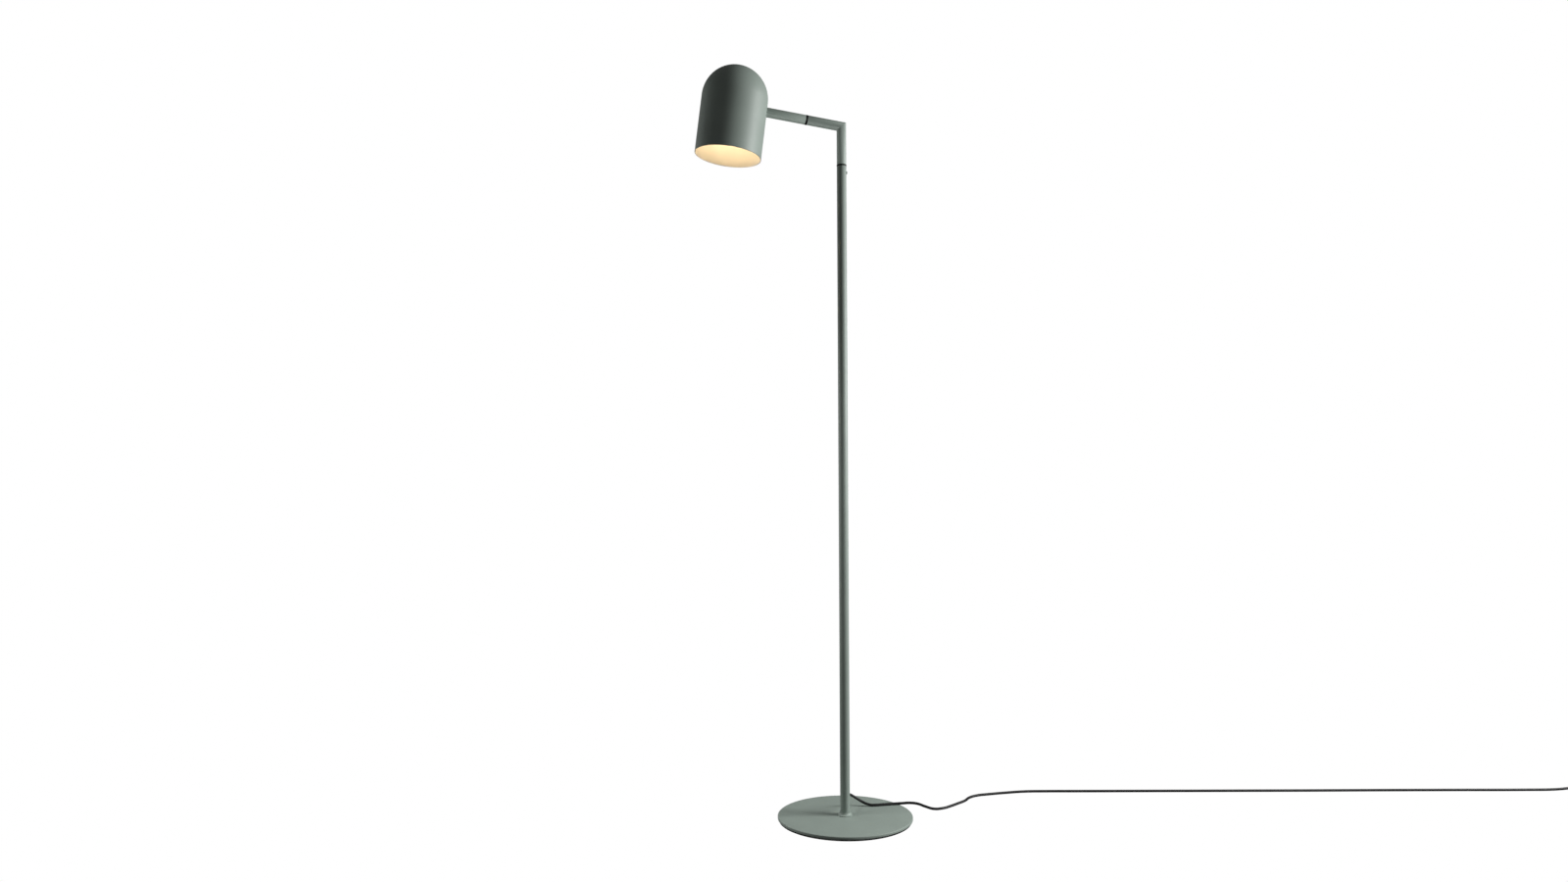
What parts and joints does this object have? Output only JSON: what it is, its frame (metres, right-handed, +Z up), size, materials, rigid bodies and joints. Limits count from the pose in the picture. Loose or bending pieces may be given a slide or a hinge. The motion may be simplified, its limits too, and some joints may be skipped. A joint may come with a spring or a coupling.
{
  "type": "adjustable arm floor lamp",
  "caption": "Floor lamp: round flat foot, slim pole, swivelling mitred elbow and a turning arm that carries a tall dome shade open below; lead with foot switch.",
  "frame": {"origin": "middle of the foot's underside, on the floor, below the axis of the pole", "axes": "+Z up along the pole, the arm along -X at rest, the lead leaves the pole behind, 25 degrees from +Y towards +X"},
  "size_m": [1.9557, 0.3759, 1.4002],
  "materials": {
    "sage_powder_coat": "matte powder coat, sage green outside, warm white inside the shade",
    "black_rubber": "matte",
    "black_nylon": "matte",
    "zinc_steel": "zinc plated",
    "black_pvc": "satin cable sheath",
    "white_thermoplastic": "satin",
    "nickel_brass": "nickel plated",
    "opal_glass": "opal, frosted",
    "black_abs": "fine satin texture"
  },
  "bodies": {
    "stand": {"base_plate": "sage_powder_coat", "base_pad": "black_rubber", "base_screw": "zinc_steel", "foot_plug": "zinc_steel", "foot_collar": "sage_powder_coat", "pole_tube": "sage_powder_coat", "cord_relief": "black_rubber", "pole_lead": "black_pvc", "pole_bush": "zinc_steel", "pole_set_screw": "sage_powder_coat", "pole_stop_pin": "zinc_steel", "pole_ring": "black_nylon", "power_cord": "black_pvc", "switch_boots": "black_rubber", "switch_base": "black_abs", "switch_screws": "zinc_steel", "switch_core": "black_abs", "switch_cover": "black_abs", "link_cord": "black_pvc", "cord_coil": "black_pvc", "cord_tie": "black_nylon", "tail_cord": "black_pvc", "plug_body": "black_abs", "plug_pins": "nickel_brass"},
    "elbow": {"elbow_tube": "sage_powder_coat", "elbow_socket": "zinc_steel", "pole_nipple": "zinc_steel", "pole_washer": "zinc_steel", "pole_nut": "zinc_steel", "elbow_lead": "black_pvc", "arm_bush": "zinc_steel", "arm_set_screw": "sage_powder_coat", "arm_stop_pin": "zinc_steel", "arm_ring": "black_nylon"},
    "arm": {"arm_tube": "sage_powder_coat", "arm_socket": "zinc_steel", "arm_nipple": "zinc_steel", "arm_washer": "zinc_steel", "arm_nut": "zinc_steel", "arm_lead": "black_pvc", "arm_end_bush": "zinc_steel", "shade_nipple": "zinc_steel", "shade_shell": "sage_powder_coat", "saddle_washer": "zinc_steel", "shade_bracket": "zinc_steel", "shade_lock_washer": "zinc_steel", "shade_nut": "zinc_steel", "holder_nipple": "zinc_steel", "holder_nut": "zinc_steel", "holder_cap": "white_thermoplastic", "holder_sleeve": "white_thermoplastic", "holder_contact": "white_thermoplastic", "bulb_cap": "nickel_brass", "bulb_glass": "opal_glass"},
    "button": {"switch_button": "black_abs"}
  },
  "joints": [
    {"name": "pole_swivel", "type": "hinge", "parent": "stand", "child": "elbow", "pos_m": [0, 0, 1.225], "axis": [0, 0, 1], "range_deg": [-165, 165]},
    {"name": "arm_swivel", "type": "hinge", "parent": "elbow", "child": "arm", "pos_m": [0, 0, 1.3], "axis": [-0.9925, 0, 0.1219], "range_deg": [-165, 165]},
    {"name": "foot_button", "type": "slide", "parent": "stand", "child": "button", "axis": [0, 0, -1], "range_m": [0, 0.0025], "stiffness_N_per_m": 300, "springref_m": -0.003}
  ]
}
